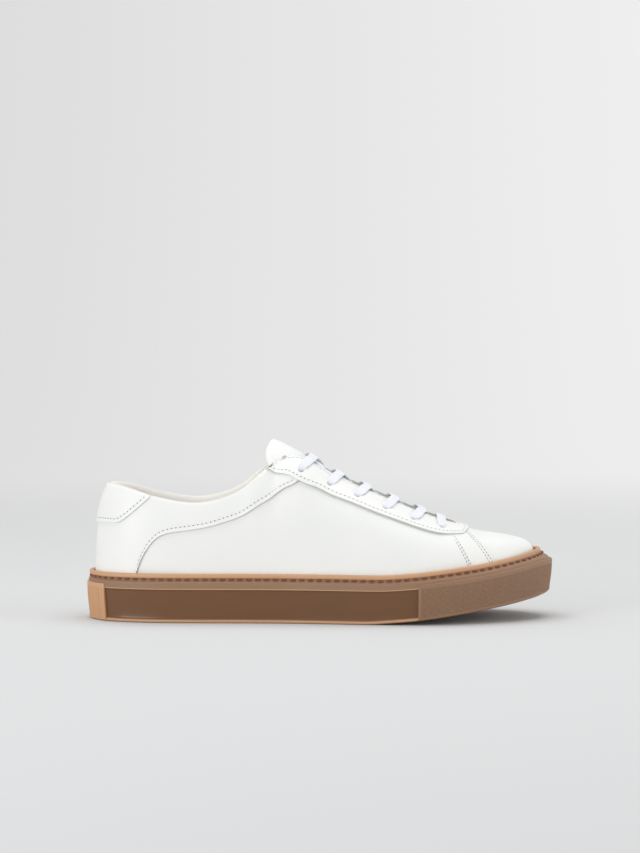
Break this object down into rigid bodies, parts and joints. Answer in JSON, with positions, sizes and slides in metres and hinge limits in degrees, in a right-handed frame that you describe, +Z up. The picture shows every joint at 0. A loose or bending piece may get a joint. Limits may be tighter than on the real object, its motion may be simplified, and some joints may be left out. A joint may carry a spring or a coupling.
{
  "type": "court shoe",
  "caption": "Low lace-up leather court shoe on a rubber cup sole, with a padded collar, a facing with lace holes and a hinged padded tongue.",
  "frame": {"origin": "on the ground under the middle of the shoe, at the bottom centre of its bounding box", "axes": "+X to the toe, +Y to the inner (medial) side of the right foot, +Z up"},
  "size_m": [0.3, 0.108, 0.1152],
  "materials": {
    "gum_rubber": "moulded satin gum rubber",
    "dark_thread": "waxed thread",
    "core_foam": "soft open foam",
    "insole_fibre": "fibre board",
    "footbed_cloth": "knit over foam",
    "white_leather": "smooth satin white leather",
    "lining_leather": "soft matte lining leather",
    "lining_knit": "woven lining",
    "stiffener": "thermoformed film",
    "collar_foam": "soft open foam",
    "tongue_foam": "soft open foam",
    "lace_cotton": "woven flat lace",
    "aglet_plastic": "clear crimped film"
  },
  "bodies": {
    "shoe": {"cupsole": "gum_rubber", "sole_stitching": "dark_thread", "midsole_filler": "core_foam", "insole_board": "insole_fibre", "footbed": "footbed_cloth", "vamp": "white_leather", "vamp_lining": "lining_knit", "toe_puff": "stiffener", "lateral_quarter": "white_leather", "medial_quarter": "white_leather", "lateral_quarter_lining": "lining_leather", "medial_quarter_lining": "lining_leather", "lateral_collar": "white_leather", "medial_collar": "white_leather", "heel_tab": "white_leather", "backstay": "white_leather", "heel_counter": "stiffener", "collar_foam": "collar_foam", "collar_lining": "lining_leather", "eyestay": "white_leather", "eyestay_backing": "stiffener", "lace": "lace_cotton", "lateral_aglet": "aglet_plastic", "medial_aglet": "aglet_plastic"},
    "tongue": {"tongue_face": "white_leather", "tongue_foam": "tongue_foam", "tongue_lining": "lining_knit"}
  },
  "joints": [
    {"name": "tongue_hinge", "type": "hinge", "parent": "shoe", "child": "tongue", "pos_m": [0.083, 0, 0.054], "axis": [0, -1, 0], "range_deg": [0, 14], "stiffness_Nm_per_rad": 0.25}
  ]
}
